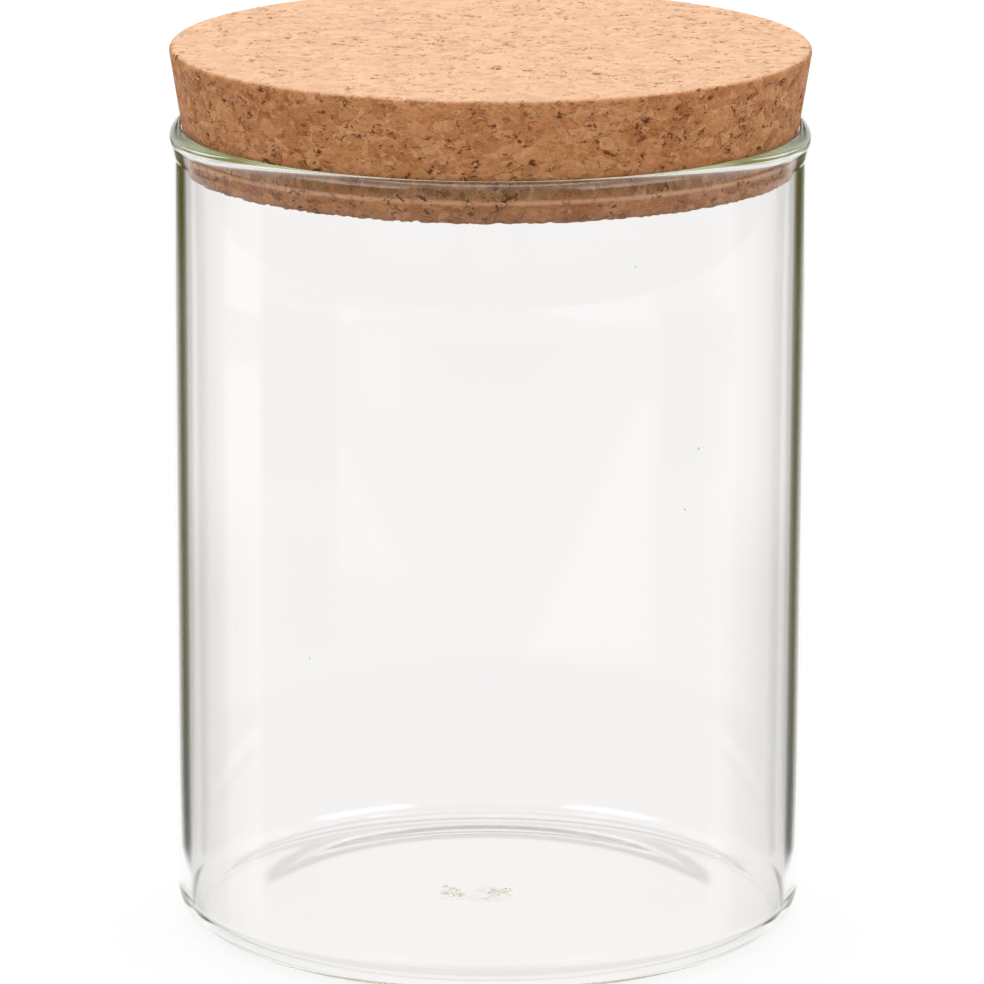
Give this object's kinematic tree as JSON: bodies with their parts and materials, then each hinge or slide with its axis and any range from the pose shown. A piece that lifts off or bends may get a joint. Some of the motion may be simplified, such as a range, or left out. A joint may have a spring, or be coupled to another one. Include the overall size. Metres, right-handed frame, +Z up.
{
  "type": "glass jar with cork lid",
  "caption": "Straight-sided clear glass storage jar with a flared fire-polished lip and a tapered agglomerated cork lid that lifts off.",
  "frame": {"origin": "centre of the standing ring under the jar, on the surface that it stands on", "axes": "+Z up along the jar's axis; the jar and its lid are round, so +X and +Y are any two level directions"},
  "size_m": [0.101, 0.101, 0.141],
  "materials": {
    "clear_glass": "clear borosilicate glass, drawn and fire-polished, smooth and glossy",
    "agglomerated_cork": "cork granules bonded in a block, turned to a taper and sanded, matt"
  },
  "bodies": {
    "jar": {"glass_jar": "clear_glass"},
    "lid": {"cork_lid": "agglomerated_cork"}
  },
  "joints": [
    {"name": "lid_lift", "type": "slide", "parent": "jar", "child": "lid", "axis": [0, 0, 1], "range_m": [0, 0.06]}
  ]
}
